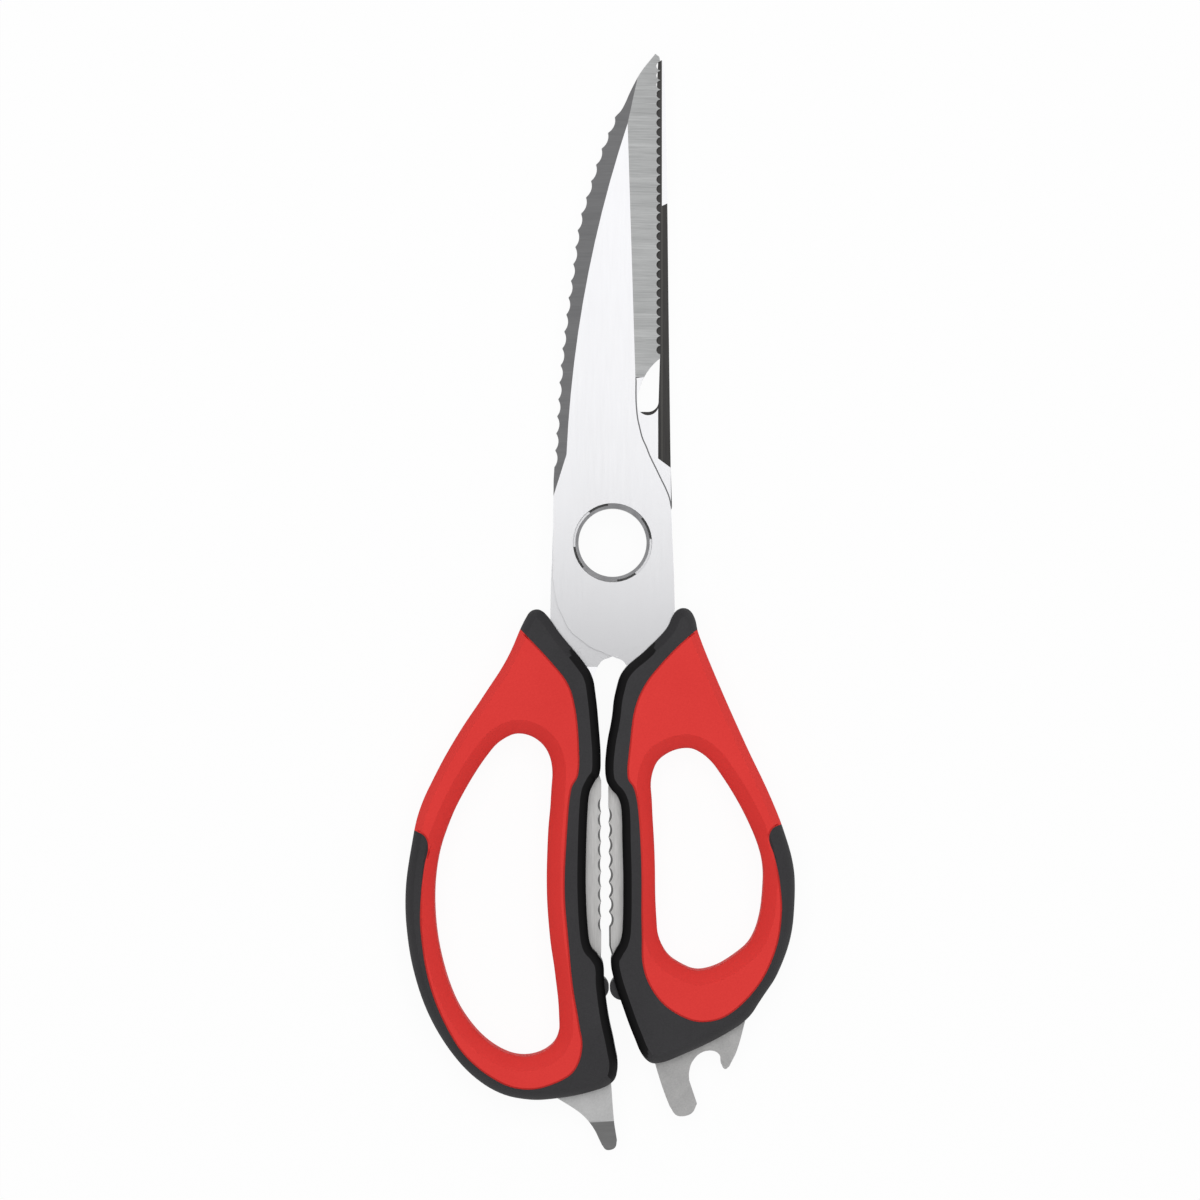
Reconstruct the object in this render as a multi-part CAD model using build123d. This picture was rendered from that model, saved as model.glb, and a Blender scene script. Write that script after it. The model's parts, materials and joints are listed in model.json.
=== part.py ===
"""Multi-purpose kitchen shears: two full-tang blades on a hollow lugged pivot, two two-shot handles.

Frame: the shears lie flat. X is across them, Y runs from the pivot to the tips, Z is up and
is the pivot's axis. The origin is on that axis, in the plane where the blades slide.
The front blade lies on top and belongs to the right handle, the back blade to the left one.
"""

from build123d import *

import os
from math import cos, hypot, pi, sin, sqrt

# Main sizes
blade_length = 104.8  # pivot axis to the tips
blade_half_width = 12.7  # pivot axis to the side of a blade at the pivot
blade_thickness = 2.6
shear_gap = 0.03  # each blade's inner face from the shear plane
handle_reach = 119.0  # pivot axis to the bottom of the loops
left_handle_width = 42.9  # seam to the outside of the big loop
right_handle_width = 40.2  # seam to the outside of the small loop
handle_thickness = 12.5
seam_offset = 3.4  # seam line beside the pivot axis, at the pivot

# Blade details
collar_drop = 13.8  # pivot axis to the top of the handle collars
neck_run = 12.6  # collar top to the neck where a blade enters its handle
joggle_clear = 0.2  # neck to the bend that centres the tang in the handle
joggle_length = 5.0
relief_depth = 0.15  # step in the face between the notch and the pivot
edge_thickness = 0.45  # thickness left at a cutting edge
spine_thickness = 0.9  # thickness left at the scaling teeth
scaler_bevel_width = 3.6
scaler_pitch = 3.65
scaler_depth = 0.55
tooth_flat = 0.15  # left at the point of each tooth
serration_pitch = 2.03
serration_depth = 0.8
notch_radius = 2.3  # bone notch
notch_rise = 7.7  # above the round bite, to its point
notch_lag = 0.8  # the back blade's notch sits this much nearer the tip
notch_mouth = 12.0  # run of the back blade's notch through its edge
back_ground_width = 4.6  # bevel on the hidden side of the back blade
pry_tip_thickness = 0.9
pry_ground_length = 6.2

# Pivot
hub_bore_radius = 7.3
hub_wall = 0.65
lug_reach = 0.47  # lugs beyond the hub's wall
lug_arc = 57.0
lug_centre_angle = 68.5
slot_margin = 1.0  # degrees, at each end of a lug
release_angle = 92.0  # opening at which the lugs meet their slots
ledge_thickness = 1.3
running_clearance = 0.05
tail_flange_reach = 1.1
tail_flange_thickness = 0.6

# Handles
face_round = 1.8  # outer edges of the handle faces
loop_round = 3.0  # finger side of the loops
flat_rim = 0.4  # least flat left between the two
rail_inset = 2.1  # hard rail inside the soft grip
rail_thickness = 5.0
groove_width = 0.35  # shadow line between hard and soft
groove_depth = 0.5
stop_gap = 0.2  # between the stop bumps, handles closed
stop_radius = 2.6
stop_thickness = 7.0
lock_hole_radius = 1.5  # the hard core flows through these holes in the tang
jaw_pitch = 3.2
jaw_depth = 0.7
jaw_plain = 3.0  # edge left plain at each end of the jaw
overrun = 30.0  # every cut runs this far past what it cuts

# Outlines, as shares of the sizes above. On a blade: x of the half width, y of the length.
tip_shares = [(0.723, 1.000), (0.481, 0.962), (0.326, 0.928), (0.160, 0.886), (0.042, 0.870)]
tip_top_shares = (0.790, 0.994)
spine_shares = [
    (0.042, 0.870), (-0.189, 0.803), (-0.376, 0.733), (-0.560, 0.655), (-0.672, 0.560), (-0.787, 0.457),
    (-0.880, 0.350), (-0.994, 0.128),
]
edge_share = 0.803
edge_top_share = 0.985
edge_foot_shares = (0.768, 0.172)
shoulder_shares = [(0.980, 0.153), (0.988, 0.067), (1.038, -0.076)]
ridge_shares = [(0.255, 0.856), (0.385, 0.338)]
scaler_ridge_shares = [(0.255, 0.856), (-0.390, 0.561), (-0.775, 0.180)]
tip_ridge_shares = (0.415, 0.946)  # where the scaler's bevel runs out at the tip
scaler_end_shares = [(-0.775, 0.180), (-0.983, 0.100)]
relief_shares = [
    (0.385, 0.338), (0.385, 0.290), (0.409, 0.256), (0.449, 0.233), (0.493, 0.213), (0.559, 0.195),
    (0.614, 0.178), (0.765, 0.140), (0.934, 0.096), (0.988, 0.067),
]
notch_centre_shares = (0.598, 0.2822)
back_spine_shares = [
    (0.853, 0.988), (0.886, 0.937), (0.920, 0.742), (0.945, 0.497), (0.971, 0.251), (0.988, 0.108),
]
back_edge_shares = [(0.770, 0.985), (0.540, 0.380)]
back_edge_foot_shares = [(0.300, 0.230), (-0.330, 0.190), (-0.800, 0.172)]

# On the heel, and on the collar that holds it: x of the half width, y of the heel's drop.
heel_shares = [
    (-1.004, -0.290), (-0.937, -0.481), (-0.836, -0.598), (-0.717, -0.708), (-0.549, -0.781),
    (-0.380, -0.842), (-0.169, -0.887), (0.042, -0.931), (0.169, -0.956), (0.245, -1.000),
]
heel_shoulder_shares = (1.048, -0.545)
left_collar_shares = [
    (-1.433, -0.587), (-1.301, -0.541), (-1.148, -0.570), (-0.853, -0.757), (-0.515, -0.952),
    (-0.346, -1.082),
]
right_collar_shares = [
    (0.177, -1.041), (0.591, -0.854), (0.900, -0.700), (1.055, -0.564), (1.217, -0.530), (1.357, -0.583),
]

# On a handle: first from the seam outwards, of that handle's width, then down, of the reach.
left_outline_shares = [
    (0.025, 0.280), (0.015, 0.334), (0.010, 0.384), (0.018, 0.415), (0.047, 0.431), (0.069, 0.447),
    (0.081, 0.474), (0.096, 0.553), (0.103, 0.625), (0.098, 0.697), (0.086, 0.724), (0.054, 0.739),
    (0.028, 0.757), (0.024, 0.796), (0.008, 0.851), (-0.018, 0.903), (-0.030, 0.942), (0.000, 0.969),
    (0.111, 0.986), (0.262, 0.997), (0.412, 1.000), (0.561, 0.988), (0.699, 0.955), (0.819, 0.903),
    (0.914, 0.838), (0.976, 0.762), (1.002, 0.687), (1.000, 0.622), (0.972, 0.557), (0.921, 0.481),
    (0.820, 0.406), (0.712, 0.341), (0.587, 0.276), (0.467, 0.211),
]
left_hole_shares = [
    (0.410, 0.343), (0.307, 0.359), (0.257, 0.395), (0.264, 0.456), (0.285, 0.528),
    (0.298, 0.625), (0.289, 0.708), (0.269, 0.773), (0.255, 0.841), (0.266, 0.888),
    (0.335, 0.914), (0.451, 0.923), (0.570, 0.908), (0.682, 0.872), (0.775, 0.816),
    (0.841, 0.730), (0.859, 0.643), (0.833, 0.564), (0.767, 0.496), (0.683, 0.439),
    (0.584, 0.386), (0.506, 0.356),
]
left_soft_shares = [
    (0.435, 0.140), (0.359, 0.168), (0.250, 0.211), (0.163, 0.253), (0.129, 0.298),
    (0.117, 0.362), (0.124, 0.415), (0.161, 0.443), (0.186, 0.510), (0.208, 0.625),
    (0.195, 0.723), (0.181, 0.795), (0.156, 0.860), (0.143, 0.906), (0.183, 0.946),
    (0.270, 0.968), (0.411, 0.981), (0.550, 0.970), (0.719, 0.924), (0.828, 0.860),
    (0.900, 0.784), (0.931, 0.697), (0.926, 0.638), (0.904, 0.582), (0.882, 0.544),
    (0.910, 0.523), (1.030, 0.510),
]
right_outline_shares = [
    (0.532, 0.168), (0.628, 0.254), (0.761, 0.362), (0.876, 0.449), (0.948, 0.514), (0.996, 0.579),
    (0.999, 0.636), (0.971, 0.708), (0.897, 0.773), (0.813, 0.816), (0.724, 0.856), (0.583, 0.887),
    (0.415, 0.914), (0.237, 0.935), (0.174, 0.924), (0.117, 0.881), (0.065, 0.829), (0.024, 0.782),
    (0.012, 0.750), (0.036, 0.733), (0.064, 0.717), (0.079, 0.694), (0.090, 0.607), (0.091, 0.546),
    (0.090, 0.476), (0.073, 0.456), (0.039, 0.442), (0.016, 0.427), (0.011, 0.402), (0.025, 0.362),
    (0.052, 0.319), (0.075, 0.272),
]
right_hole_shares = [
    (0.445, 0.369), (0.548, 0.384), (0.646, 0.427), (0.752, 0.492), (0.824, 0.557),
    (0.836, 0.607), (0.797, 0.687), (0.716, 0.730), (0.502, 0.768), (0.349, 0.751),
    (0.277, 0.717), (0.260, 0.665), (0.261, 0.557), (0.255, 0.470), (0.257, 0.420),
    (0.311, 0.386),
]
right_soft_shares = [
    (0.590, 0.140), (0.468, 0.170), (0.341, 0.211), (0.236, 0.254), (0.177, 0.298),
    (0.145, 0.362), (0.129, 0.420), (0.162, 0.443), (0.180, 0.481), (0.188, 0.571),
    (0.180, 0.697), (0.185, 0.766), (0.253, 0.816), (0.362, 0.847), (0.489, 0.860),
    (0.629, 0.847), (0.791, 0.795), (0.890, 0.730), (0.927, 0.665), (0.921, 0.607),
    (0.896, 0.562), (0.871, 0.532), (0.889, 0.514), (0.935, 0.506), (1.030, 0.502),
]
outside_shares = (1.200, -0.100)  # beyond the collar and the loop
stop_share = 0.800  # down the seam
collar_share = 0.116  # down the handle, the top of the collars
straight_share = 0.0001  # an arc flatter than this is a line
corner_share = 0.95  # of the tightest bend in an outline, the most that its edge is rounded

# Tangs, in the same shares as the handles
left_seam_side_shares = [(0.062, 0.262), (0.062, 0.325), (0.052, 0.380)]
left_jaw_shares = [(0.012, 0.429), (0.035, 0.730)]
left_below_jaw_shares = [(0.050, 0.760), (0.060, 0.841), (0.027, 0.932), (0.005, 0.973)]
pry_seam_shares = [(0.005, 0.973), (-0.004, 1.041), (-0.016, 1.076)]
pry_end_shares = [(-0.016, 1.076), (-0.008, 1.088), (0.012, 1.093), (0.040, 1.093), (0.060, 1.084)]
pry_flank_shares = [(0.060, 1.084), (0.102, 1.052), (0.158, 1.028), (0.282, 0.998)]
left_inside_shares = [(0.300, 0.965), (0.243, 0.941), (0.199, 0.896), (0.213, 0.751), (0.228, 0.625),
                      (0.195, 0.463), (0.186, 0.355), (0.254, 0.265)]
right_seam_side_shares = [(0.090, 0.283), (0.057, 0.355), (0.040, 0.400)]
right_jaw_shares = [(0.024, 0.443), (0.015, 0.726)]
right_below_jaw_shares = [(0.030, 0.745), (0.048, 0.778), (0.106, 0.845), (0.181, 0.910)]
opener_leg_shares = [(0.225, 0.928), (0.250, 0.960), (0.276, 0.989), (0.303, 1.014)]
opener_end_shares = [(0.303, 1.014), (0.336, 1.030), (0.379, 1.032), (0.422, 1.026), (0.449, 1.010)]
opener_throat_shares = [(0.449, 1.010), (0.430, 0.989), (0.411, 0.968)]
opener_mouth_shares = [(0.411, 0.968), (0.412, 0.953), (0.429, 0.935), (0.474, 0.919), (0.533, 0.914),
                       (0.575, 0.921), (0.583, 0.937)]
opener_hook_shares = [(0.583, 0.937), (0.602, 0.947), (0.626, 0.943)]
opener_flank_shares = [(0.626, 0.943), (0.672, 0.912), (0.728, 0.850)]
right_inside_shares = [(0.700, 0.822), (0.481, 0.829), (0.270, 0.805), (0.184, 0.751), (0.172, 0.697),
                       (0.183, 0.571), (0.172, 0.445), (0.207, 0.355), (0.315, 0.265)]
left_lock_shares = [(0.130, 0.335), (0.125, 0.860)]
right_lock_shares = [(0.120, 0.365), (0.130, 0.780), (0.440, 0.870)]

heel_drop = collar_drop + neck_run
joggle_start = heel_drop + joggle_clear
hub_radius = hub_bore_radius + hub_wall
blade_top = shear_gap + blade_thickness
half_thickness = handle_thickness / 2
half_tang = blade_thickness / 2


def seam_x(down):
    """The seam between the handles leans towards the middle of the shears as it goes down."""
    return -seam_offset * (1 - down)


def on_blade(share):
    return (share[0] * blade_half_width, share[1] * blade_length)


def on_heel(share):
    return (share[0] * blade_half_width, share[1] * heel_drop)


def handle_y(down):
    """The collars stay where the heel is, and the rest of a handle stretches with its reach."""
    return -collar_drop - (down - collar_share) / (1 - collar_share) * (handle_reach - collar_drop)


def on_left(share):
    return (seam_x(share[1]) - share[0] * left_handle_width, handle_y(share[1]))


def on_right(share):
    return (seam_x(share[1]) + share[0] * right_handle_width, handle_y(share[1]))


def mirrored(point):
    return (-point[0], point[1])


def every(place, shares):
    return [place(share) for share in shares]


def between(low, high, share):
    return (low[0] + (high[0] - low[0]) * share, low[1] + (high[1] - low[1]) * share)


def unit(x, y):
    size = hypot(x, y)
    return (x / size, y / size)


def arc_from(start, end, tangent):
    """The arc that leaves a point along a tangent, or the line where the end lies straight ahead."""
    aside = tangent[0] * (end[1] - start[1]) - tangent[1] * (end[0] - start[0])
    if abs(aside) < straight_share * hypot(end[0] - start[0], end[1] - start[1]):
        return Line(start, end)
    return TangentArc(start, end, tangent=tangent)


def smooth_path(points, closed=False):
    """Two tangent arcs from each point to the next, leaving a point in line with its neighbours."""
    count = len(points)
    tangents = []
    for i in range(count):
        before = points[i - 1] if closed or i else points[0]
        after = points[(i + 1) % count] if closed or i + 1 < count else points[-1]
        tangents.append(unit(after[0] - before[0], after[1] - before[1]))
    arcs = []
    for i in range(count if closed else count - 1):
        start, end = points[i], points[(i + 1) % count]
        leave, arrive = tangents[i], tangents[(i + 1) % count]
        run = (end[0] - start[0], end[1] - start[1])
        both = (leave[0] + arrive[0], leave[1] + arrive[1])
        bend = (leave[0] - arrive[0]) ** 2 + (leave[1] - arrive[1]) ** 2
        ahead = run[0] * both[0] + run[1] * both[1]
        square = run[0] ** 2 + run[1] ** 2
        reach = square / (ahead + hypot(ahead, sqrt(bend * square)))
        middle = tuple((start[k] + end[k] + reach * (leave[k] - arrive[k])) / 2 for k in (0, 1))
        arcs.append(arc_from(start, middle, leave))
        arcs.append(arc_from(end, middle, (-arrive[0], -arrive[1])))
    return arcs


def smooth_loop(points):
    """A closed face with a smooth edge through the points."""
    return make_face(Curve() + smooth_path(points, closed=True))


def prism(face, low, high):
    return extrude(Pos(0, 0, low) * face, amount=high - low)


def inset(points, distance):
    """The same loop of points, each moved square to the loop, inwards for a positive distance."""
    count = len(points)
    area = sum(
        points[i][0] * points[(i + 1) % count][1] - points[(i + 1) % count][0] * points[i][1]
        for i in range(count)
    )
    turn = 1 if area > 0 else -1
    moved = []
    for i, (x, y) in enumerate(points):
        before, after = points[i - 1], points[(i + 1) % count]
        run = (after[0] - before[0], after[1] - before[1])
        step = turn * distance / hypot(*run)
        moved.append((x - run[1] * step, y + run[0] * step))
    return moved


def scallop_radius(pitch, depth):
    """Radius of the round cutter that leaves scallops of this pitch and depth."""
    return ((pitch / 2) ** 2 + depth**2) / (2 * depth)


# Bone notch: a round bite drawn out to a point along the edge
notch_centre = on_blade(notch_centre_shares)
notch_point = (edge_share * blade_half_width, notch_centre[1] + notch_radius + notch_rise)


def notch_face():
    left = (notch_centre[0] - notch_radius, notch_centre[1])
    right = (notch_centre[0] + notch_radius, notch_centre[1])
    swelling = TangentArc(left, notch_point, tangent=(0, 1))
    return Pos(*notch_centre) * Circle(notch_radius) + make_face(
        Curve() + [swelling, Polyline(notch_point, right, left)]
    )


def jaw_teeth(low, high, outwards):
    """Round cutters that leave the toothed edge of the nut jaw, from its upper end down."""
    radius = scallop_radius(jaw_pitch, jaw_depth)
    run = hypot(high[0] - low[0], high[1] - low[1])
    count = int((run - 2 * jaw_plain) / jaw_pitch)
    spare = (run - count * jaw_pitch) / 2
    cutters = []
    for i in range(count):
        x, y = between(low, high, (spare + (i + 0.5) * jaw_pitch) / run)
        cutters.append(Pos(x + outwards * (radius - jaw_depth), y) * Circle(radius))
    return Sketch() + cutters


def lock_holes(points):
    return Sketch() + [Pos(*point) * Circle(lock_hole_radius) for point in points]


def joggled(face, side):
    """A blade's plate: flat on its own side of the shear plane, then bent to the middle of the handle."""
    inner, outer = side * shear_gap, side * blade_top
    high, low = side * half_tang, -side * half_tang
    bend, bent = -joggle_start, -joggle_start - joggle_length
    top_end, low_end = blade_length + overrun, -handle_reach - overrun
    section = Plane.YZ * make_face(
        Polyline(
            (top_end, inner), (bend, inner), (bent, low), (low_end, low),
            (low_end, high), (bent, high), (bend, outer), (top_end, outer), close=True,
        )
    )
    width = left_handle_width + right_handle_width + overrun
    return extrude(section, amount=width, both=True) & prism(face, -handle_thickness, handle_thickness)


def slope_cutter(first, second, low_point, up):
    """Takes away all beyond the plane through three points, from the first point towards the second."""
    along = Vector(*second) - Vector(*first)
    normal = along.cross(Vector(*low_point) - Vector(*first)).normalized()
    if normal.Z * up < 0:
        normal = -normal
    slope = Plane(origin=first, x_dir=along, z_dir=normal)
    return slope * Box(
        blade_length + overrun, 2 * blade_length, blade_length, align=(Align.MIN, Align.CENTER, Align.MIN)
    )


def front_blade():
    spine = every(on_blade, spine_shares)
    tip = every(on_blade, tip_shares)
    edge_x = edge_share * blade_half_width
    edge_top = (edge_x, edge_top_share * blade_length)
    edge_foot = on_blade(edge_foot_shares)
    shoulder = every(on_blade, shoulder_shares)
    heel = every(on_heel, heel_shares)
    jaw = every(on_right, right_jaw_shares)
    seam_side = [heel[-1]] + every(on_right, right_seam_side_shares) + jaw
    below = [jaw[-1]] + every(on_right, right_below_jaw_shares + opener_leg_shares[:1])
    flank = every(on_right, opener_flank_shares)
    inside = [flank[-1]] + every(on_right, right_inside_shares) + [on_heel(heel_shoulder_shares)]
    outline = [
        *smooth_path(tip),
        *smooth_path(spine),
        Line(spine[-1], heel[0]),
        *smooth_path(heel),
        Polyline(*seam_side),
        Polyline(*below),
        *smooth_path(every(on_right, opener_leg_shares)),
        *smooth_path(every(on_right, opener_end_shares)),
        *smooth_path(every(on_right, opener_throat_shares)),
        *smooth_path(every(on_right, opener_mouth_shares)),
        *smooth_path(every(on_right, opener_hook_shares)),
        *smooth_path(flank),
        Polyline(*inside),
        Polyline(inside[-1], *reversed(shoulder)),
        Polyline(shoulder[0], edge_foot, (edge_foot[0], notch_centre[1]), notch_point),
        Polyline(notch_point, edge_top, on_blade(tip_top_shares), tip[0]),
    ]
    face = make_face(Curve() + outline)

    back = Wire(smooth_path(spine))
    cutter_radius = scallop_radius(scaler_pitch - tooth_flat, scaler_depth)
    stand_off = cutter_radius - scaler_depth
    scallops = []
    for i in range(int(back.length / scaler_pitch)):
        share = (i + 0.5) * scaler_pitch / back.length
        point, ahead = back @ share, back % share
        place = Pos(point.X + ahead.Y * stand_off, point.Y - ahead.X * stand_off)
        scallops.append(place * Circle(cutter_radius))
    face -= Sketch() + scallops

    cutter_radius = scallop_radius(serration_pitch - tooth_flat, serration_depth)
    bites = []
    for i in range(int((edge_top[1] - notch_point[1]) / serration_pitch)):
        y = edge_top[1] - (i + 0.5) * serration_pitch
        bites.append(Pos(edge_x + cutter_radius - serration_depth, y) * Circle(cutter_radius))
    face -= Sketch() + bites
    face -= notch_face()
    face -= jaw_teeth(*jaw, -1)
    face -= lock_holes(every(on_right, right_lock_shares))
    blade = joggled(face, 1)

    ridge = every(on_blade, ridge_shares)
    edge_level = shear_gap + edge_thickness
    ridge_high, ridge_low = ((*point, blade_top) for point in ridge)
    blade -= slope_cutter(ridge_low, ridge_high, (edge_x, ridge[0][1], edge_level), 1)

    ridge_arc = ThreePointArc(*every(on_blade, scaler_ridge_shares))
    fall = blade_thickness - spine_thickness
    spread = scaler_bevel_width * blade_thickness / fall
    foot_radius, top_radius = ridge_arc.radius + spread, ridge_arc.radius - spread
    upright = (Align.CENTER, Align.CENTER, Align.MIN)
    kept = Cone(foot_radius, top_radius, 2 * blade_thickness, align=upright)
    kept = Pos(ridge_arc.arc_center.X, ridge_arc.arc_center.Y, shear_gap) * kept
    high, low = every(on_blade, scaler_end_shares)
    beyond = between(high, low, 1 + overrun / blade_length)
    inner = between(high, low, -overrun / blade_length)
    outside = (beyond[0] - overrun, blade_length)
    over_tip = (blade_half_width, blade_length)
    zone = make_face(Polyline(inner, beyond, outside, over_tip, close=True))
    blade -= prism(zone, shear_gap, blade_top + half_tang) - kept

    # Near the tip the scaler's bevel bites into the cutting bevel, as steep as along the spine.
    meet = on_blade(tip_ridge_shares)
    ahead = (meet[1] - ridge[0][1]) / (ridge[0][1] - ridge[1][1])
    aside = meet[0] - between(ridge[0], ridge[1], -ahead)[0]
    steepness = (blade_thickness - edge_thickness) / (edge_x - ridge[0][0])
    run = unit(meet[0] - ridge[0][0], meet[1] - ridge[0][1])
    low_point = (
        ridge[0][0] - run[1] * scaler_bevel_width,
        ridge[0][1] + run[0] * scaler_bevel_width,
        blade_top - fall,
    )
    blade -= slope_cutter(ridge_high, (*meet, blade_top - steepness * aside), low_point, 1)

    relief = every(on_blade, relief_shares)
    right_side = blade_half_width + overrun
    around = [relief[-1], (right_side, relief[-1][1]), (right_side, relief[0][1]), relief[0]]
    relief_zone = make_face(Curve() + [*smooth_path(relief), Polyline(*around)])
    blade -= prism(relief_zone, blade_top - relief_depth, blade_top + overrun)

    hub_hole = hub_radius + running_clearance
    slot_radius = hub_hole + lug_reach
    blade -= Cylinder(hub_hole, overrun)
    blade -= Pos(0, 0, shear_gap + ledge_thickness) * Cylinder(
        slot_radius, blade_thickness, align=(Align.CENTER, Align.CENTER, Align.MIN)
    )
    for turn in (0, 180):
        slot = sector(slot_radius, lug_arc + 2 * slot_margin, lug_centre_angle - release_angle + turn)
        blade -= prism(slot, -blade_thickness, blade_top)
    return blade


def sector(radius, arc, middle):
    """A pie piece about the pivot axis, up to 90 degrees wide."""
    half = arc / 2 * pi / 180
    middle = middle * pi / 180
    reach = radius / cos(half)
    wedge = make_face(
        Polyline(
            (0, 0),
            (reach * cos(middle - half), reach * sin(middle - half)),
            (reach * cos(middle + half), reach * sin(middle + half)),
            close=True,
        )
    )
    return wedge & Circle(radius)


def back_blade():
    spine = every(on_blade, back_spine_shares)
    edge = every(on_blade, back_edge_shares)
    foot = every(on_blade, back_edge_foot_shares)
    shoulder = [mirrored(point) for point in every(on_blade, shoulder_shares)]
    heel = [mirrored(point) for point in every(on_heel, heel_shares)]
    jaw = every(on_left, left_jaw_shares)
    seam_side = [heel[-1]] + every(on_left, left_seam_side_shares) + jaw
    below = [jaw[-1]] + every(on_left, left_below_jaw_shares)
    flank = every(on_left, pry_flank_shares)
    inside = [flank[-1]] + every(on_left, left_inside_shares) + [mirrored(on_heel(heel_shoulder_shares))]
    outline = [
        *smooth_path(spine),
        Line(spine[-1], heel[0]),
        *smooth_path(heel),
        Polyline(*seam_side),
        Polyline(*below),
        *smooth_path(every(on_left, pry_seam_shares)),
        *smooth_path(every(on_left, pry_end_shares)),
        *smooth_path(flank),
        Polyline(*inside),
        Polyline(inside[-1], *reversed(shoulder)),
        Polyline(shoulder[0], *reversed(foot), *reversed(edge), spine[0]),
    ]
    face = make_face(Curve() + outline)
    mouth = Pos(notch_centre[0] - notch_mouth / 2, notch_centre[1]) * Rectangle(notch_mouth, 2 * notch_radius)
    face -= Pos(0, notch_lag) * (notch_face() + mouth)
    face -= jaw_teeth(*jaw, 1)
    face -= lock_holes(every(on_left, left_lock_shares))
    blade = joggled(face, -1)

    # The cutting bevel is on the hidden side.
    bottom, edge_level = -blade_top, -shear_gap - edge_thickness
    high, low = edge
    inner_low = (low[0] + back_ground_width, low[1], bottom)
    inner_high = (high[0] + back_ground_width, high[1], bottom)
    blade -= slope_cutter(inner_low, inner_high, (*low, edge_level), -1)

    # Both faces of the pry tip are ground to a thin end.
    tip_y = on_left(pry_end_shares[2])[1]
    ground_y = tip_y + pry_ground_length
    for side in (1, -1):
        thin, outside = side * pry_tip_thickness / 2, side * handle_thickness
        ground = Plane.YZ * make_face(
            Polyline(
                (ground_y, side * half_tang), (tip_y, thin), (tip_y - overrun, thin),
                (tip_y - overrun, outside), (ground_y, outside), close=True,
            )
        )
        blade -= extrude(ground, amount=left_handle_width, both=True)
    blade -= Cylinder(hub_radius, overrun)
    return blade


def pivot_hub():
    """A hollow rivet: fixed in the back blade, with two lugs that hold the front blade down."""
    lug_top = blade_top - running_clearance
    lug_bottom = shear_gap + ledge_thickness + running_clearance
    hub = prism(Circle(hub_radius), -blade_top - tail_flange_thickness, lug_top)
    for turn in (0, 180):
        hub += prism(sector(hub_radius + lug_reach, lug_arc, lug_centre_angle + turn), lug_bottom, lug_top)
    hub += prism(Circle(hub_radius + tail_flange_reach), -blade_top - tail_flange_thickness, -blade_top)
    return hub - Cylinder(hub_bore_radius, overrun)


def tightest_bend(points):
    """The smallest radius along the smooth loop through the points."""
    return min(arc.radius for arc in smooth_path(points, closed=True) if arc.geom_type == GeomType.CIRCLE)


def least_arm(outline, hole):
    """The thinnest the ring gets between its outside and its finger hole."""
    return min(hypot(a[0] - b[0], a[1] - b[1]) for a in outline for b in hole)


def handle(collar, outline_shares, hole_shares, soft_shares, place, tang, lean):
    """One two-shot handle, parted into its hard core and its soft grip, around the tang it holds."""
    outline = every(on_heel, collar) + every(place, outline_shares)
    hole = every(place, hole_shares)
    body = prism(smooth_loop(outline) - smooth_loop(hole), -half_thickness, half_thickness)
    outer_round = min(face_round, corner_share * tightest_bend(outline))
    finger_round = min(loop_round, least_arm(outline, hole) - outer_round - flat_rim)
    for level in (0, -1):
        for end, radius in ((0, finger_round), (-1, outer_round)):
            rims = body.faces().sort_by(Axis.Z)[level].wires().sort_by(SortBy.LENGTH)
            body = fillet(rims[end].edges(), radius)

    border = every(place, soft_shares)
    closing = [
        place((outside_shares[0], soft_shares[-1][1])),
        place(outside_shares),
        place((soft_shares[0][0], outside_shares[1])),
    ]
    soft_zone = make_face(Curve() + [*smooth_path(border), Polyline(border[-1], *closing, border[0])])
    inner = inset(border + closing, groove_width)
    inner_border, inner_closing = inner[: len(border)], inner[len(border) :]
    inner_zone = make_face(
        Curve() + [*smooth_path(inner_border), Polyline(inner_border[-1], *inner_closing, inner_border[0])]
    )
    soft_cut = prism(soft_zone, -handle_thickness, handle_thickness)
    groove = prism(soft_zone - inner_zone, half_thickness - groove_depth, handle_thickness)
    groove += prism(soft_zone - inner_zone, -handle_thickness, groove_depth - half_thickness)

    rail = smooth_loop(inset(outline, rail_inset)) - smooth_loop(inset(hole, -rail_inset))
    rail = prism(rail, -rail_thickness / 2, rail_thickness / 2)
    bump = Pos(seam_x(stop_share) + lean * (stop_gap / 2 + stop_radius), handle_y(stop_share))
    bump = prism(bump * Circle(stop_radius), -stop_thickness / 2, stop_thickness / 2)
    core = (body - soft_cut) + rail + bump - tang
    grip = (body & soft_cut) - rail - tang - groove
    return core, grip


front = front_blade()
back = back_blade()
left_core, left_grip = handle(
    left_collar_shares, left_outline_shares, left_hole_shares, left_soft_shares, on_left, back, -1
)
right_core, right_grip = handle(
    right_collar_shares, right_outline_shares, right_hole_shares, right_soft_shares, on_right, front, 1
)

nodes = {
    "front_blade": front,
    "back_blade": back,
    "pivot_hub": pivot_hub(),
    "left_handle_core": left_core,
    "left_soft_grip": left_grip,
    "right_handle_core": right_core,
    "right_soft_grip": right_grip,
}
os.makedirs("parts", exist_ok=True)
for name, node in nodes.items():
    print(name, len(node.solids()), "solid", round(node.volume), "mm3")
    export_step(node, f"parts/{name}.step")
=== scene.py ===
import json
from math import pi, radians

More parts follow.
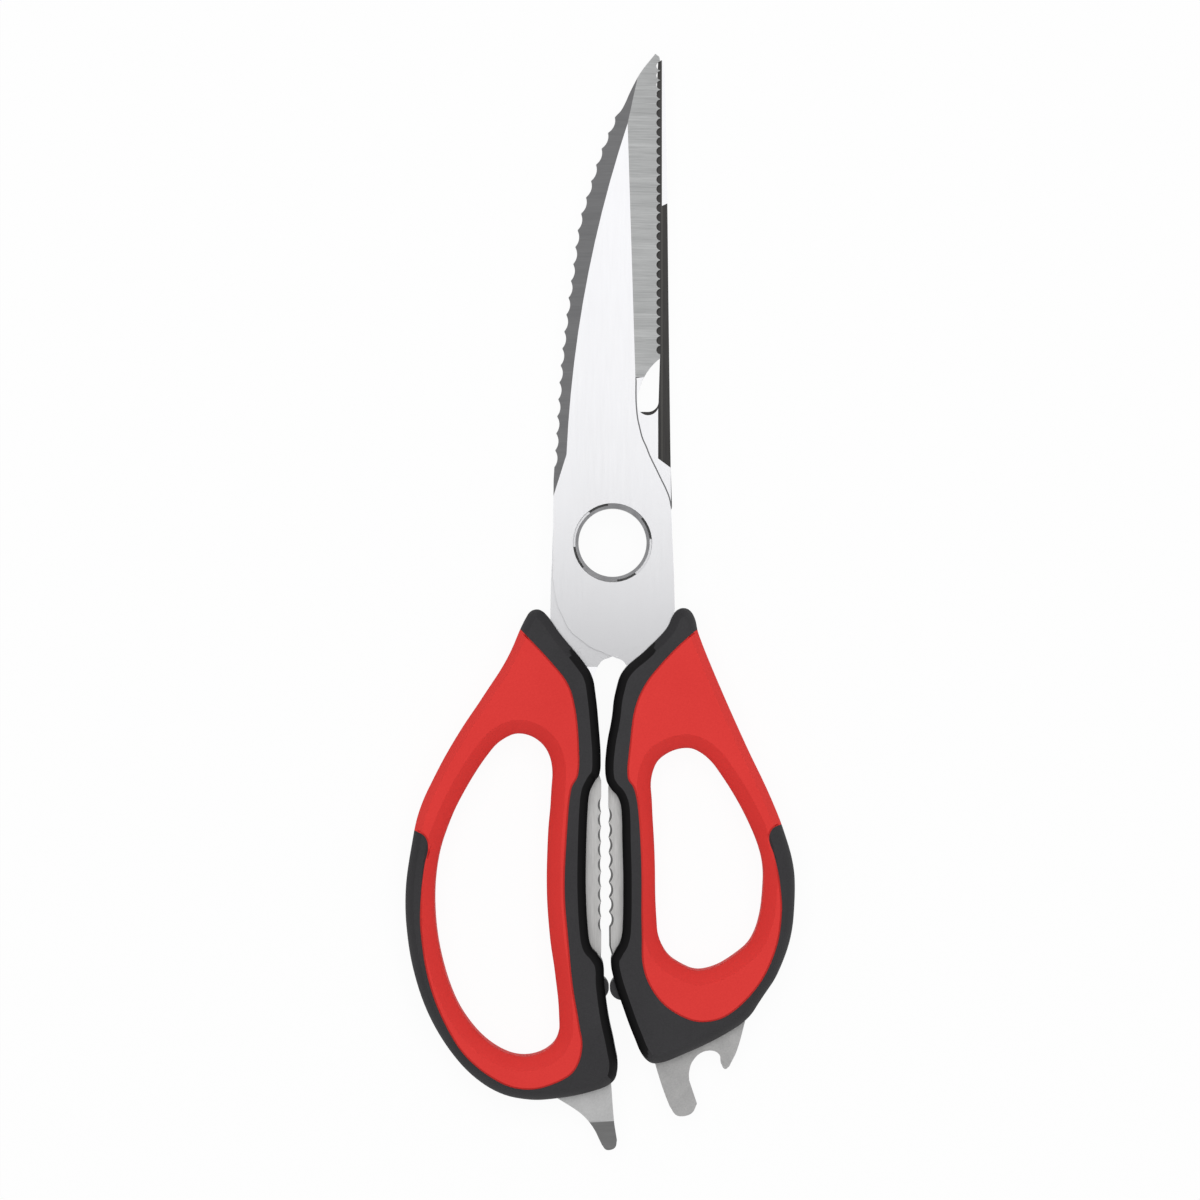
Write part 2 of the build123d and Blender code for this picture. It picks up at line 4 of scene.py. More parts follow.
import bmesh
import bpy
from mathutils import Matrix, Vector

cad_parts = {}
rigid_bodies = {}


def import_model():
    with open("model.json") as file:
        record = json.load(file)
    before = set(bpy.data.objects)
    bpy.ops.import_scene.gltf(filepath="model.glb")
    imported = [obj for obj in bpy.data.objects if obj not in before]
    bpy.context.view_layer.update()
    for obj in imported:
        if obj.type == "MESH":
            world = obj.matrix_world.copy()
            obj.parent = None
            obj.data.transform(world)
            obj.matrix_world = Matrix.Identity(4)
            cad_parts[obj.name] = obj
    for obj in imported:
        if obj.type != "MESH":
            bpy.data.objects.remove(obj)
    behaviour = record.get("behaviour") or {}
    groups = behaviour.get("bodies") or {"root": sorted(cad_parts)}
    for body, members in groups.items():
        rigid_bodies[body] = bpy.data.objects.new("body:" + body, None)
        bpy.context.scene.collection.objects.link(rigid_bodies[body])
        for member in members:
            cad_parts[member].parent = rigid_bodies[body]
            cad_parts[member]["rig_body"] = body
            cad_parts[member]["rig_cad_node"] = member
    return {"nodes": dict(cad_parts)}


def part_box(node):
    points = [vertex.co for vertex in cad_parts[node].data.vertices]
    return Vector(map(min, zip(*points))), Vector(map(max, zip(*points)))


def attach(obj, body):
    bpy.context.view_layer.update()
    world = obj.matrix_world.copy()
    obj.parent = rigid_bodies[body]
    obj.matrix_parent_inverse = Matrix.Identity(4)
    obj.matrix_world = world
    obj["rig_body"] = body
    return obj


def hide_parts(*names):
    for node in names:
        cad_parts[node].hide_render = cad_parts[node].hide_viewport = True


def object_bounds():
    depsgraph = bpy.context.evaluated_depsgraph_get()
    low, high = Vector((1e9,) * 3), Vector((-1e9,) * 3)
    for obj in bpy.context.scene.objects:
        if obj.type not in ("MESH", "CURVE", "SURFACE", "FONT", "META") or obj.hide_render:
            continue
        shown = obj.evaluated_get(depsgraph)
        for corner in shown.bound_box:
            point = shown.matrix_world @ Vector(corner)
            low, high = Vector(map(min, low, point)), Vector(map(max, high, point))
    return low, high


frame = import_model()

mm = 0.001
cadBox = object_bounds()
print("frame loaded")

for obj in list(bpy.data.objects):
    if not obj.get("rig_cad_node") and not obj.name.startswith("body:"):
        bpy.data.objects.remove(obj)


# Camera: straight down on the shears, as in the photograph
camera = {
    "distance": 1200 * mm,
    "frameWidth": 257.3 * mm,  # what the frame takes in at the blades
    "centreX": -2.68 * mm,
    "centreY": -12.26 * mm,
    "sensor": 36.0,  # Blender's own millimetres
    "clipEnd": 10.0,
}
camData = bpy.data.cameras.new("camera")
camData.sensor_width = camera["sensor"]
camData.lens = camera["sensor"] * camera["distance"] / camera["frameWidth"]
camData.clip_end = camera["clipEnd"]
camObj = bpy.data.objects.new("camera", camData)
camObj.location = (camera["centreX"], camera["centreY"], camera["distance"])
bpy.context.scene.collection.objects.link(camObj)
bpy.context.scene.camera = camObj
print("camera ready")


def addNode(tree, kind, inputs=None, **settings):
    node = tree.nodes.new("ShaderNode" + kind)
    for name, value in settings.items():
        setattr(node, name, value)
    for key, value in (inputs or {}).items():
        if isinstance(value, bpy.types.NodeSocket):
            tree.links.new(value, node.inputs[key])
        else:
            node.inputs[key].default_value = value
    return node


def mixValue(tree, fac, low, high):
    return addNode(tree, "Mix", {0: fac, 2: low, 3: high}).outputs[0]


# Studio: a soft light from above for the colours, panels that only the shine picks up, a white floor
studio = {
    "roomColor": (1, 1, 1, 1),
    "roomWhite": 1.0,  # what the camera sees past the floor
    "roomFill": 0.40,  # what reaches matt surfaces
    "roomShine": 0.40,  # what metal reflects where no panel stands
    "keyPower": 6.5,
    "keySize": (0.9, 0.9),
    "keyPlace": (0, 0.1, 1.0),
    "topPanelShine": 0.71,
    "topPanelSize": (0.8, 0.8),
    "topPanelPlace": (0, 0.355, 1.0),
    "sidePanelShine": 0.26,
    "sidePanelSize": (0.5, 1.2),
    "sidePanelPlace": (0.80, 0.1, 1.0),
    "floorSize": 3.0,
    "floorColor": (0.93, 0.93, 0.93, 1),
    "floorRough": 0.9,
    "floorSpecular": 0.1,
    "floorGlow": 0.94,  # share of the floor's white that the camera sees unlit
}


def areaLight(name, place, size, power, shineOnly):
    data = bpy.data.lights.new(name, "AREA")
    data.shape = "RECTANGLE"
    data.size, data.size_y = size
    data.energy = power
    lamp = bpy.data.objects.new(name, data)
    lamp.location = place
    lamp.rotation_euler = (-Vector(place)).to_track_quat("-Z", "Y").to_euler()
    lamp.visible_diffuse = not shineOnly
    lamp.visible_glossy = shineOnly
    bpy.context.scene.collection.objects.link(lamp)


def shinePanel(name):
    size = studio[name + "Size"]
    power = studio[name + "Shine"] * pi * size[0] * size[1]
    areaLight(name, studio[name + "Place"], size, power, shineOnly=True)


def buildRoom():
    world = bpy.data.worlds.new("room")
    bpy.context.scene.world = world
    world.use_nodes = True
    tree = world.node_tree
    path = addNode(tree, "LightPath")
    fill, shine, white = studio["roomFill"], studio["roomShine"], studio["roomWhite"]
    forShine = mixValue(tree, path.outputs["Is Glossy Ray"], fill, shine)
    forCamera = mixValue(tree, path.outputs["Is Camera Ray"], forShine, white)
    sky = tree.nodes["Background"]
    sky.inputs["Color"].default_value = studio["roomColor"]
    tree.links.new(forCamera, sky.inputs["Strength"])


def buildFloor():
    mesh = bpy.data.meshes.new("floor")
    bm = bmesh.new()
    bmesh.ops.create_grid(bm, x_segments=1, y_segments=1, size=studio["floorSize"] / 2)
    bmesh.ops.translate(bm, verts=bm.verts, vec=(0, 0, cadBox[0].z))
    bm.to_mesh(mesh)
    bm.free()
    floor = bpy.data.objects.new("floor", mesh)
    bpy.context.scene.collection.objects.link(floor)

    mat = bpy.data.materials.new("floorWhite")
    mat.use_nodes = True
    tree = mat.node_tree
    plain = tree.nodes["Principled BSDF"]
    plain.inputs["Base Color"].default_value = studio["floorColor"]
    plain.inputs["Roughness"].default_value = studio["floorRough"]
    plain.inputs["Specular IOR Level"].default_value = studio["floorSpecular"]
    path = addNode(tree, "LightPath")
    shine = addNode(
        tree, "Math", {0: path.outputs["Is Glossy Ray"], 1: path.outputs["Is Transmission Ray"]},
        operation="MAXIMUM",
    )
    seen = addNode(
        tree, "Math", {0: path.outputs["Is Camera Ray"], 1: shine.outputs[0]}, operation="MAXIMUM"
    )
    share = addNode(tree, "Math", {0: seen.outputs[0], 1: studio["floorGlow"]}, operation="MULTIPLY")
    glow = addNode(tree, "Emission", {"Strength": 1})
    mix = addNode(tree, "MixShader", {0: share.outputs[0], 1: plain.outputs[0], 2: glow.outputs[0]})
    tree.links.new(mix.outputs[0], tree.nodes["Material Output"].inputs["Surface"])
    floor.data.materials.append(mat)


areaLight("key", studio["keyPlace"], studio["keySize"], studio["keyPower"], shineOnly=False)
shinePanel("topPanel")
shinePanel("sidePanel")
buildRoom()
buildFloor()
print("studio ready")


# Effects that several finishes share, each drawn from noise
grindNoise = {
    "fine": {"Scale": 1, "Detail": 4, "Roughness": 0.75, "Distortion": 0.15},
    "broad": {"Scale": 0.13, "Detail": 2, "Roughness": 0.5},
    "broadShare": 0.35,  # the rest of the tone is the fine lines
}
speckNoise = {"Detail": 3, "Roughness": 0.8}
patchNoise = {"Detail": 2, "Roughness": 0.5}
noiseMiddle = 0.5


def newEffect(name, inputs, output):
    tree = bpy.data.node_groups.new(name, "ShaderNodeTree")
    for label, kind, value in inputs:
        socket = tree.interface.new_socket(label, in_out="INPUT", socket_type="NodeSocket" + kind)
        socket.default_value = value
    tree.interface.new_socket(output, in_out="OUTPUT", socket_type="NodeSocketFloat")
    given = tree.nodes.new("NodeGroupInput").outputs
    result = tree.nodes.new("NodeGroupOutput").inputs
    return tree, given, result


def spread(tree, value, contrast):
    centred = addNode(tree, "Math", {0: value, 1: noiseMiddle}, operation="SUBTRACT").outputs[0]
    return addNode(
        tree, "Math", {0: centred, 1: contrast, 2: noiseMiddle}, operation="MULTIPLY_ADD", use_clamp=True
    ).outputs[0]


def buildGrindLines():
    tree, given, result = newEffect("grindLines", [
        ("Vector", "Vector", (0, 0, 0)),
        ("Density", "Vector", (1, 1, 1)),  # lines to the metre, each way
        ("Contrast", "Float", 2),
    ], "Lines")
    drawn = addNode(tree, "VectorMath", {0: given["Vector"], 1: given["Density"]}, operation="MULTIPLY")
    fine = addNode(tree, "TexNoise", {"Vector": drawn.outputs[0], **grindNoise["fine"]})
    broad = addNode(tree, "TexNoise", {"Vector": drawn.outputs[0], **grindNoise["broad"]})
    both = mixValue(tree, grindNoise["broadShare"], fine.outputs[0], broad.outputs[0])
    tree.links.new(spread(tree, both, given["Contrast"]), result[0])
    return tree


def buildNoise(name, measure, output, noise):
    tree, given, result = newEffect(name, [
        ("Vector", "Vector", (0, 0, 0)),
        (measure, "Float", 1),  # specks or patches to the metre
        ("Contrast", "Float", 2),
    ], output)
    drawn = addNode(tree, "TexNoise", {"Vector": given["Vector"], "Scale": given[measure], **noise})
    tree.links.new(spread(tree, drawn.outputs[0], given["Contrast"]), result[0])
    return tree


effects = {
    "grindLines": buildGrindLines(),
    "speckle": buildNoise("speckle", "Grain", "Specks", speckNoise),
    "handling": buildNoise("handling", "Patch", "Patches", patchNoise),
}


def addEffect(tree, name, **inputs):
    return addNode(tree, "Group", inputs, node_tree=effects[name]).outputs[0]


def newFinish(name, metallic, shine=None):
    mat = bpy.data.materials.new(name)
    mat.use_nodes = True
    shader = mat.node_tree.nodes["Principled BSDF"]
    shader.inputs["Metallic"].default_value = metallic
    if shine is not None:
        shader.inputs["Specular IOR Level"].default_value = shine
    place = addNode(mat.node_tree, "TexCoord").outputs["Object"]
    return mat, mat.node_tree, shader, place


def mixColor(tree, fac, dark, light):
    mix = addNode(tree, "Mix", {0: fac}, data_type="RGBA")
    for key, color in ((6, dark), (7, light)):  # the node's two colour sockets
        if isinstance(color, bpy.types.NodeSocket):
            tree.links.new(color, mix.inputs[key])
        else:
            mix.inputs[key].default_value = (*color, 1)
    return mix.outputs[2]


def raised(tree, height, distance):
    return addNode(tree, "Bump", {"Height": height, "Distance": distance}).outputs["Normal"]


# Steel: one recipe of polish or grind, with its own values for each ground or stamped zone; the darker
# values of the scaler bevel, cut edges, tooth gaps, counterbore and hub are painted shade
steel = {
    "polished": {
        "dark": (0.83, 0.83, 0.85), "light": (0.91, 0.91, 0.93), "rough": (0.15, 0.20),
        "density": (1500, 90, 1500), "contrast": 1.2, "depth": 0.0004 * mm,
    },
    "cuttingBevel": {
        "dark": (0.46, 0.47, 0.47), "light": (0.92, 0.93, 0.93), "rough": (0.30, 0.42),
        "density": (110, 4200, 110), "contrast": 2.6, "depth": 0.004 * mm,
    },
    # the scaler bevel's steel is darkened for the dimmer reflection its slope catches: painted shade
    "scalerBevel": {
        "dark": (0.31, 0.31, 0.32), "light": (0.53, 0.53, 0.54), "rough": (0.30, 0.40),
        "density": (140, 2600, 140), "contrast": 1.8, "depth": 0.003 * mm,
    },
    # the darker steel on faces that look sideways: painted shade on the walls
    "cutEdge": {
        "dark": (0.26, 0.26, 0.27), "light": (0.46, 0.46, 0.47), "rough": (0.35, 0.50),
        "density": (900, 900, 300), "contrast": 1.6, "depth": 0.004 * mm,
    },
    "jaw": {
        "dark": (0.70, 0.69, 0.68), "light": (0.96, 0.95, 0.94), "rough": (0.32, 0.46),
        "density": (2600, 220, 2600), "contrast": 2.8, "depth": 0.004 * mm,
    },
    # near-black steel on the walls of the jaw's tooth gaps: painted shade
    "toothGapPaintedShade": {
        "dark": (0.05, 0.05, 0.05), "light": (0.14, 0.14, 0.14), "rough": (0.45, 0.60),
        "density": (900, 900, 300), "contrast": 1.6, "depth": 0.004 * mm,
    },
    # dark steel on the sunk faces round the pivot: painted shade in the recess
    "counterborePaintedShade": {
        "dark": (0.10, 0.10, 0.10), "light": (0.22, 0.22, 0.22), "rough": (0.35, 0.50),
        "density": (900, 900, 900), "contrast": 1.6, "depth": 0.003 * mm,
    },
    "tool": {
        "dark": (0.56, 0.56, 0.56), "light": (0.86, 0.85, 0.84), "rough": (0.42, 0.56),
        "density": (2600, 2600, 2600), "contrast": 2.0, "depth": 0.006 * mm,
    },
    "pry": {
        "dark": (0.72, 0.72, 0.72), "light": (0.95, 0.95, 0.95), "rough": (0.40, 0.52),
        "density": (2200, 1800, 2200), "contrast": 2.2, "depth": 0.005 * mm,
    },
    "groundTip": {
        "dark": (0.28, 0.28, 0.28), "light": (0.46, 0.46, 0.46), "rough": (0.40, 0.50),
        "density": (150, 3600, 150), "contrast": 2.0, "depth": 0.004 * mm,
    },
    # the hub's darker steel: painted shade
    "hub": {
        "dark": (0.20, 0.20, 0.21), "light": (0.46, 0.46, 0.47), "rough": (0.22, 0.34),
        "density": (260, 260, 5200), "contrast": 2.2, "depth": 0.003 * mm,
    },
}
steelPatches = {"perMetre": 45, "contrast": 1.5, "share": 0.25}


def steelFinish(name):
    look = steel[name]
    mat, tree, shader, place = newFinish(name + "Steel", metallic=1)
    lines = addEffect(tree, "grindLines", Vector=place, Density=look["density"], Contrast=look["contrast"])
    patches = addEffect(
        tree, "handling", Vector=place, Patch=steelPatches["perMetre"], Contrast=steelPatches["contrast"]
    )
    both = mixValue(tree, steelPatches["share"], lines, patches)
    tree.links.new(mixColor(tree, both, look["dark"], look["light"]), shader.inputs["Base Color"])
    tree.links.new(mixValue(tree, both, look["rough"][1], look["rough"][0]), shader.inputs["Roughness"])
    tree.links.new(raised(tree, lines, look["depth"]), shader.inputs["Normal"])
    return mat


# The back blade's inner face carries a dark band along the spine, out to a slanted end: painted dark
# reflection and painted shadow under the front blade
paintedReflectionBand = {
    "innerX": 9.3 * mm,
    "edgeX": 10.6 * mm,  # above the band only this far is painted dark, the painted shadow under the front edge
    "topY": 72.24 * mm,
    "slant": 0.46,  # how far the band's end rises for each step across
    "footY": 8.0 * mm,
    "notchX": 5.0 * mm,  # the painted shade also runs round the foot of the notch
    "notchY": (24.5 * mm, 29.0 * mm),
    "soft": 0.03 * mm,
    "dark": (0.062, 0.060, 0.059),
    "light": (0.100, 0.097, 0.095),
    "lineX": 10.6 * mm,  # a paler line down the painted band
    "lineHalf": 0.12 * mm,
    "lineColor": (0.13, 0.127, 0.12),
    "rough": 0.42,
    "density": (2600, 120, 2600),
    "contrast": 2.0,
    "far": 1.0,  # metres, past the end of the blade
}


def within(tree, value, low, high, soft):
    rise = addNode(tree, "MapRange", {"Value": value, 1: low - soft, 2: low + soft})
    fall = addNode(tree, "MapRange", {"Value": value, 1: high - soft, 2: high + soft, 3: 1, 4: 0})
    return addNode(tree, "Math", {0: rise.outputs[0], 1: fall.outputs[0]}, operation="MULTIPLY").outputs[0]


def innerFacePaintedReflectionFinish():
    mat = steelFinish("polished")
    mat.name = "innerFacePaintedReflectionSteel"
    tree = mat.node_tree
    shader = tree.nodes["Principled BSDF"]
    place = tree.nodes["Texture Coordinate"].outputs["Object"]
    axes = addNode(tree, "SeparateXYZ", {0: place}).outputs
    far = paintedReflectionBand["far"]
    level = addNode(
        tree, "Math", {0: axes["X"], 1: -paintedReflectionBand["slant"], 2: axes["Y"]}, operation="MULTIPLY_ADD"
    ).outputs[0]
    top = paintedReflectionBand["topY"] - paintedReflectionBand["slant"] * paintedReflectionBand["edgeX"]
    low = within(tree, level, -far, top, paintedReflectionBand["soft"])
    wide = within(tree, axes["X"], paintedReflectionBand["innerX"], far, paintedReflectionBand["soft"])
    narrow = within(tree, axes["X"], paintedReflectionBand["innerX"], paintedReflectionBand["edgeX"], paintedReflectionBand["soft"])
    foot = within(tree, axes["Y"], paintedReflectionBand["footY"], far, paintedReflectionBand["soft"])
    broad = addNode(tree, "Math", {0: wide, 1: low}, operation="MULTIPLY").outputs[0]
    either = addNode(tree, "Math", {0: broad, 1: narrow}, operation="MAXIMUM").outputs[0]
    along = addNode(tree, "Math", {0: either, 1: foot}, operation="MULTIPLY").outputs[0]
    across = within(tree, axes["X"], paintedReflectionBand["notchX"], far, paintedReflectionBand["soft"])
    beside = within(tree, axes["Y"], *paintedReflectionBand["notchY"], paintedReflectionBand["soft"])
    notch = addNode(tree, "Math", {0: across, 1: beside}, operation="MULTIPLY").outputs[0]
    # where the polished colour gives way to the painted dark reflection and shadow
    paintedDarkMask = addNode(tree, "Math", {0: along, 1: notch}, operation="MAXIMUM").outputs[0]
    lines = addEffect(tree, "grindLines", Vector=place, Density=paintedReflectionBand["density"], Contrast=paintedReflectionBand["contrast"])
    # the painted dark itself, with grind lines running through it
    paintedDark = mixColor(tree, lines, paintedReflectionBand["dark"], paintedReflectionBand["light"])
    lineEnds = (paintedReflectionBand["lineX"] - paintedReflectionBand["lineHalf"], paintedReflectionBand["lineX"] + paintedReflectionBand["lineHalf"])
    line = within(tree, axes["X"], *lineEnds, paintedReflectionBand["soft"])
    paintedDark = mixColor(tree, line, paintedDark, paintedReflectionBand["lineColor"])
    plainColor = shader.inputs["Base Color"].links[0].from_socket
    plainRough = shader.inputs["Roughness"].links[0].from_socket
    tree.links.new(mixColor(tree, paintedDarkMask, plainColor, paintedDark), shader.inputs["Base Color"])
    tree.links.new(mixValue(tree, paintedDarkMask, plainRough, paintedReflectionBand["rough"]), shader.inputs["Roughness"])
    return mat


# Moulded plastics: a fine matt speckle, with slow changes of tone
plastic = {
    "hardBlack": {
        "dark": (0.0190, 0.0180, 0.0200), "light": (0.0340, 0.0330, 0.0360), "rough": (0.46, 0.60),
        "grain": 3600, "contrast": 2.2, "depth": 0.010 * mm, "patch": 70, "shine": 0.45,
    },
    "seamPaintedShade": {  # the bevels and walls along the seam, a darker copy of the hard plastic: painted shade
        "dark": (0.0030, 0.0028, 0.0032), "light": (0.0060, 0.0056, 0.0062), "rough": (0.40, 0.50),
        "grain": 3600, "contrast": 1.6, "depth": 0.006 * mm, "patch": 70, "shine": 0.25,
    },
    "softRed": {
        "dark": (0.70, 0.034, 0.030), "light": (0.83, 0.048, 0.041), "rough": (0.60, 0.75),
        "grain": 3000, "contrast": 2.0, "depth": 0.012 * mm, "patch": 55, "shine": 0.30,
    },
}
plasticPatches = {"contrast": 2.0, "share": 0.35}


def plasticFinish(name):
    look = plastic[name]
    mat, tree, shader, place = newFinish(name, metallic=0, shine=look["shine"])
    specks = addEffect(tree, "speckle", Vector=place, Grain=look["grain"], Contrast=look["contrast"])
    patches = addEffect(
        tree, "handling", Vector=place, Patch=look["patch"], Contrast=plasticPatches["contrast"]
    )
    both = mixValue(tree, plasticPatches["share"], specks, patches)
    tree.links.new(mixColor(tree, both, look["dark"], look["light"]), shader.inputs["Base Color"])
    tree.links.new(mixValue(tree, both, look["rough"][1], look["rough"][0]), shader.inputs["Roughness"])
    tree.links.new(raised(tree, specks, look["depth"]), shader.inputs["Normal"])
    return mat


finishes = {name: steelFinish(name) for name in steel}
finishes["innerFace"] = innerFacePaintedReflectionFinish()
for name in plastic:
    finishes[name] = plasticFinish(name)
print("finishes ready")


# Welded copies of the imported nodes, cut where a finish ends and with clean normals
weld = {
    "gap": 0.002 * mm,  # corners nearer than this are one
    "faceAngle": radians(7),  # ground bevels keep a crisp line against the face
    "wallAngle": radians(40),  # round walls stay smooth
    "wallTilt": 0.3,  # a wall's normal rises less than this
}


def isWall(face):
    return abs(face.normal.z) < weld["wallTilt"]


def weldedMesh(nodeName, cuts=()):
    bm = bmesh.new()
    bm.from_mesh(frame["nodes"][nodeName].data)
    bmesh.ops.remove_doubles(bm, verts=bm.verts, dist=weld["gap"])
    for y in cuts:
        geometry = bm.verts[:] + bm.edges[:] + bm.faces[:]
        bmesh.ops.bisect_plane(bm, geom=geometry, plane_co=(0, y, 0), plane_no=(0, 1, 0))
    return bm


def markSharp(bm, faceAngle, wallAngle):
    for edge in bm.edges:
        if len(edge.link_faces) != 2:
            edge.smooth = False
            continue
        walls = all(isWall(face) for face in edge.link_faces)
        edge.smooth = edge.calc_face_angle(0) < (wallAngle if walls else faceAngle)
    for face in bm.faces:
        face.smooth = True


def finishedPiece(bm, nodeName, names):
    pieceName = nodeName + ".dressed"
    mesh = bpy.data.meshes.new(pieceName)
    bm.to_mesh(mesh)
    bm.free()
    for name in names:
        mesh.materials.append(finishes[name])
    piece = bpy.data.objects.new(pieceName, mesh)
    bpy.context.scene.collection.objects.link(piece)
    normals = piece.modifiers.new("weightedNormals", "WEIGHTED_NORMAL")
    normals.keep_sharp = True
    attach(piece, frame["nodes"][nodeName]["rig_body"])
    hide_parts(nodeName)
    print(pieceName, len(mesh.polygons), "faces")


# Blades: each face takes the finish of its zone, told by where it lies and which way it looks; the dark
# finishes on sideways faces, in the tooth gaps and in the counterbore are painted shade
blades = {
    "jawTop": -40 * mm,  # inside the handles, where the polish ends and the matt tang begins
    "toolTop": -95 * mm,  # below this the tang is the tool at its end
    "tipRise": 6.2 * mm,  # ground end of the pry tip
    "flat": 0.985,  # the flat faces' normals rise more than this
    "slope": 0.75,  # and a bevel's more than this
    "boreReach": 9 * mm,
    "boreDrop": 0.5 * mm,  # faces this far under the blade's top, about the pivot, are in the counterbore
    "reliefSlant": 0.30 * mm,  # run of the relief's edge, which the CAD has upright
    "reliefDepth": 0.15 * mm,
    "reliefY": (6 * mm, 36 * mm),
    "toothSlant": 0.45 * mm,  # run of the draught in the jaw's tooth gaps
    "toothDepth": 0.7 * mm,
    "toothReach": 1.4 * mm,  # what lies deeper than this is no tooth's
    "toothY": (-94 * mm, -50 * mm),
    "seamHalf": 4.0 * mm,
    "skin": 0.004 * mm,  # how near a corner counts as on a surface
}
bladeZones = [
    "polished", "innerFace", "cuttingBevel", "scalerBevel", "cutEdge", "jaw", "tool", "pry", "groundTip",
    "toothGapPaintedShade", "counterborePaintedShade",
]


def bladeZone(face, outer, tipY, top):
    center, normal = face.calc_center_median(), face.normal
    sunk = 0 < center.z * outer < top - blades["boreDrop"]
    if sunk and normal.z * outer > blades["flat"] and center.xy.length < blades["boreReach"]:
        return "counterborePaintedShade"
    if abs(normal.z) < blades["slope"]:
        inJaw = blades["toothY"][0] < center.y < blades["toothY"][1]
        return "toothGapPaintedShade" if inJaw and abs(center.x) < blades["seamHalf"] else "cutEdge"
    if center.y < tipY:
        return "groundTip"
    if center.y < blades["toolTop"]:
        return "tool" if outer > 0 else "pry"
    if center.y < blades["jawTop"]:
        return "jaw"
    if abs(normal.z) > blades["flat"]:
        return "polished" if normal.z * outer > 0 else "innerFace"
    if abs(normal.x) < abs(normal.y):
        return "polished"
    return "cuttingBevel" if normal.x * outer > 0 else "scalerBevel"


def wallsOf(vert):
    return [face for face in vert.link_faces if isWall(face)]


def slantRelief(bm, top):
    floor = top - blades["reliefDepth"]
    low, high = blades["reliefY"]
    moves = {}
    for vert in bm.verts:
        if abs(vert.co.z - floor) > blades["skin"] or not low < vert.co.y < high:
            continue
        walls = wallsOf(vert)
        if walls and min(v.co.z for face in walls for v in face.verts) > floor - blades["skin"]:
            aside = sum((face.normal for face in walls), Vector())
            moves[vert] = Vector((aside.x, aside.y, 0)).normalized() * blades["reliefSlant"]
    slopes = {face for vert in moves for face in wallsOf(vert)}
    for vert, move in moves.items():
        vert.co += move
    return slopes


def slantTeeth(bm, outer):
    low, high = blades["toothY"]
    jaw = [v for v in bm.verts if low < v.co.y < high and abs(v.co.x) < blades["seamHalf"]]
    bottom = min(vert.co.z for vert in jaw)
    jaw = [v for v in jaw if v.co.z < bottom + blades["skin"] and wallsOf(v)]
    tips = max(-vert.co.x * outer for vert in jaw)
    for vert in jaw:
        depth = tips + vert.co.x * outer
        if depth < blades["toothReach"]:
            vert.co.x -= outer * blades["toothSlant"] * min(1, depth / blades["toothDepth"])


def dressBlade(nodeName, outer):  # outer: which way along Z the blade's outer face looks
    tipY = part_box("back_blade")[0].y + blades["tipRise"]
    bm = weldedMesh(nodeName, (blades["jawTop"], blades["toolTop"]))
    slantTeeth(bm, outer)
    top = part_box("front_blade")[1].z
    slopes = slantRelief(bm, top) if outer > 0 else set()
    bm.normal_update()
    for face in bm.faces:
        # the relief's sloped edges take the cut-edge steel, so the step shows as a line of painted shade
        zone = "cutEdge" if face in slopes else bladeZone(face, outer, tipY, top)
        face.material_index = bladeZones.index(zone)
    markSharp(bm, weld["faceAngle"], weld["wallAngle"])
    finishedPiece(bm, nodeName, bladeZones)


def dressHub():
    bm = weldedMesh("pivot_hub")
    markSharp(bm, weld["wallAngle"], weld["wallAngle"])
    finishedPiece(bm, "pivot_hub", ["hub"])


# Handles: the rounded rims are drawn in to bevels with a crest, straighter than the CAD's arcs
handles = {
    "outerRim": 1.8 * mm,
    "fingerRim": 3.0 * mm,
    "straight": 0.72,  # share of the way from the arc to a straight bevel
    "flat": 0.9995,  # a rim's normals rise less than this
    "wall": 0.02,  # and more than this
    "skin": 0.004 * mm,
    "sharp": radians(35),
    "seamReach": 9 * mm,  # the seam side lies this near the middle
    "seamFacing": 0.5,  # and looks at the middle at least this much
    "recessFacing": -0.3,  # round the jaw's recess the corners take the painted shade as well
    "recessEnd": -94 * mm,
    "rimTilt": 0.95,  # the recess leaves out faces flatter than this
    "left": {"outward": -1, "hole": (-22.3 * mm, -75.5 * mm)},
    "right": {"outward": 1, "hole": (18.7 * mm, -66.8 * mm)},
}


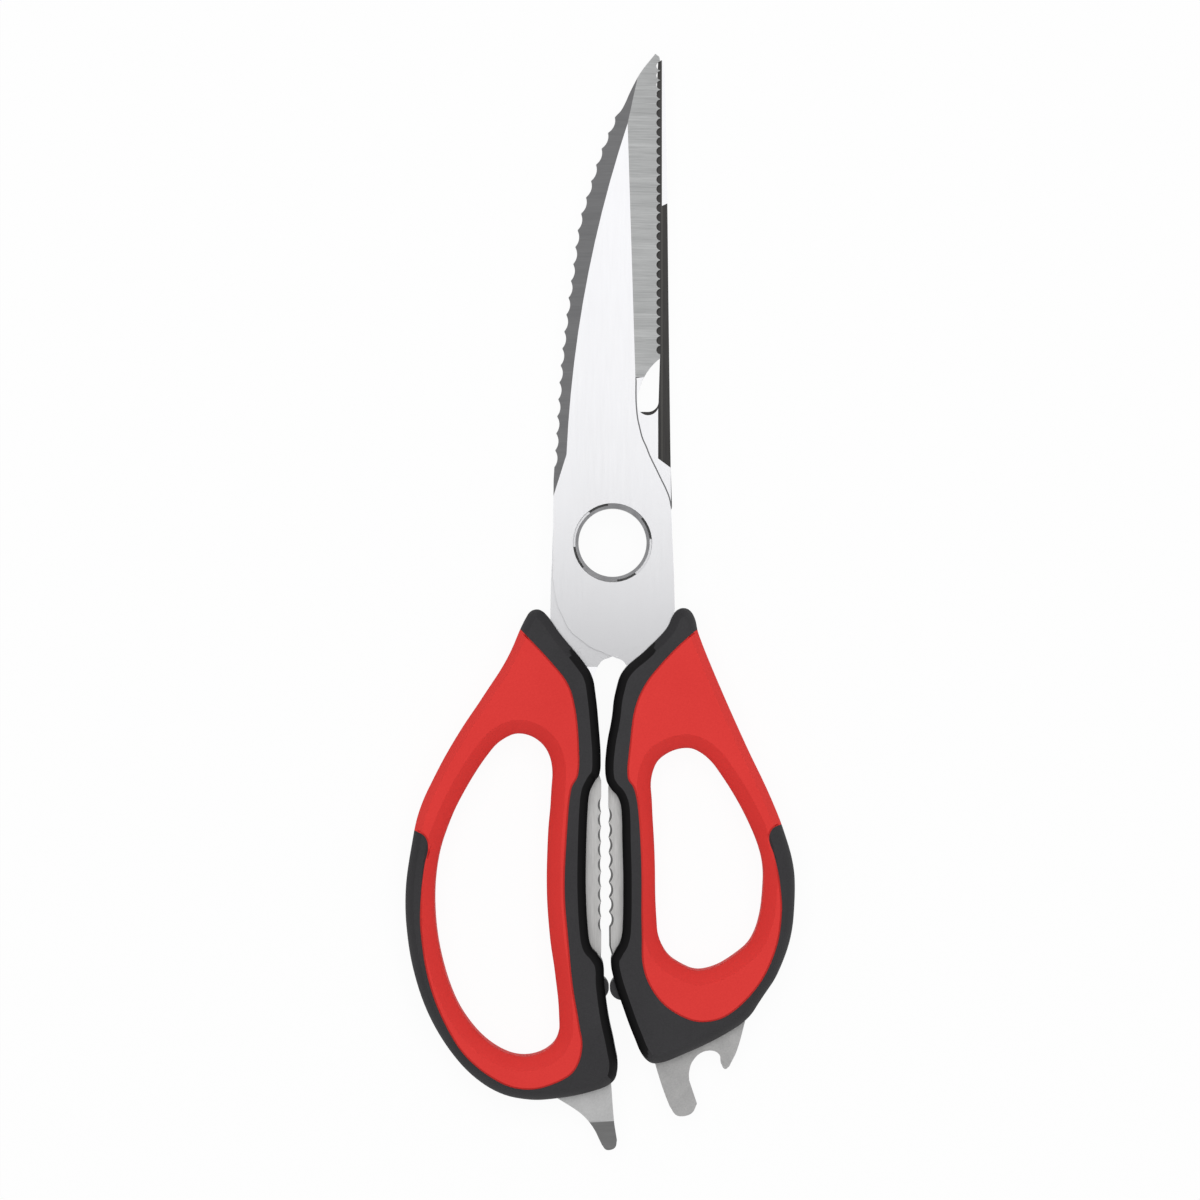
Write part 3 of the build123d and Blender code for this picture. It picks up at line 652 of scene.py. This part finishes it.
def rimDirection(vert):
    aside = Vector((0, 0))
    for face in vert.link_faces:
        if handles["wall"] < abs(face.normal.z) < handles["flat"]:
            aside += Vector(face.normal[:2]) * face.calc_area()
    return aside


def drawRims(bm, side):
    top = max(vert.co.z for vert in bm.verts)
    hole = Vector(handles[side]["hole"])
    crests = [
        edge for edge in bm.edges
        if all(abs(abs(v.co.z) - top) < handles["skin"] for v in edge.verts)
        and handles["wall"] < min(abs(face.normal.z) for face in edge.link_faces) < handles["flat"]
    ]
    falls = {}
    for vert in bm.verts:
        aside = rimDirection(vert)
        if not aside.length:
            continue
        inwards = aside.dot(hole - vert.co.xy) > 0
        radius = handles["fingerRim"] if inwards else handles["outerRim"]
        fall = top - abs(vert.co.z)
        if handles["skin"] < fall < radius:
            run = (1 - (1 - fall / radius) ** 2) ** 0.5  # how far out the arc is, as a share of its radius
            falls[vert] = handles["straight"] * (radius * run - fall)
    for vert, fall in falls.items():
        vert.co.z -= fall if vert.co.z > 0 else -fall
    return crests


def onSeamSide(face, side):
    center = face.calc_center_median()
    facing = -face.normal.x * handles[side]["outward"]
    if abs(center.x) > handles["seamReach"]:
        return False
    inRecess = center.y > handles["recessEnd"] and abs(face.normal.z) < handles["rimTilt"]
    return facing > handles["seamFacing"] or (inRecess and facing > handles["recessFacing"])


def dressHandle(side):
    for nodeName, slot, finishNames in (
        (side + "_handle_core", "hard_shell", ["hardBlack", "seamPaintedShade"]),
        (side + "_soft_grip", "soft_grip", ["softRed"]),
    ):
        bm = weldedMesh(nodeName)
        crests = drawRims(bm, side)
        bm.normal_update()
        # faces on the seam side and round the jaw's recess take the darker copy: painted shade
        for face in bm.faces:
            seam = "seamPaintedShade" in finishNames and onSeamSide(face, side)
            face.material_index = finishNames.index("seamPaintedShade") if seam else 0
        markSharp(bm, handles["sharp"], handles["sharp"])
        for edge in crests:
            edge.smooth = False
        finishedPiece(bm, nodeName, finishNames)


dressBlade("front_blade", 1)
dressBlade("back_blade", -1)
dressHub()
dressHandle("left")
dressHandle("right")
print("pieces ready")

bpy.context.scene.view_settings.view_transform = "Standard"
